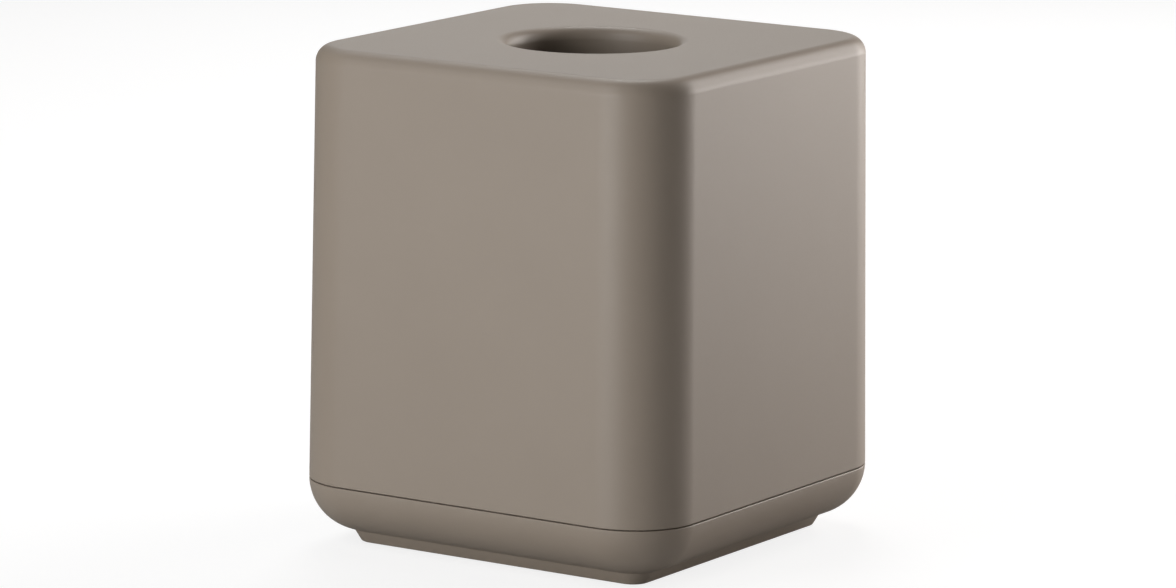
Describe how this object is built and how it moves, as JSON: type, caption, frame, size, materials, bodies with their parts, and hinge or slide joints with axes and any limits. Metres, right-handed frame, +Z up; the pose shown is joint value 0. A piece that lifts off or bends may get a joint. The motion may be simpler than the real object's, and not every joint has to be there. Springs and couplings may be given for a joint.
{
  "type": "tissue box cover",
  "caption": "Square tissue box cover with rounded corners and a round dispensing mouth, which lifts off a tray base with a quarter-round underside and an inset plinth.",
  "frame": {"origin": "middle of the footprint, on the surface that the foot pads stand on", "axes": "+Z up through the dispensing mouth, -Y towards the front wall, +X to the right"},
  "size_m": [0.13, 0.13, 0.1477],
  "materials": {
    "cover_plastic": "satin warm grey moulded plastic",
    "base_plastic": "satin warm grey moulded plastic",
    "pad_rubber": "dull dark elastomer"
  },
  "bodies": {
    "base": {"base": "base_plastic", "foot_pad_front_left": "pad_rubber", "foot_pad_front_right": "pad_rubber", "foot_pad_back_left": "pad_rubber", "foot_pad_back_right": "pad_rubber"},
    "cover": {"cover": "cover_plastic"}
  },
  "joints": [
    {"name": "cover_lift", "type": "slide", "parent": "base", "child": "cover", "axis": [0, 0, 1], "range_m": [0, 0.13]}
  ]
}
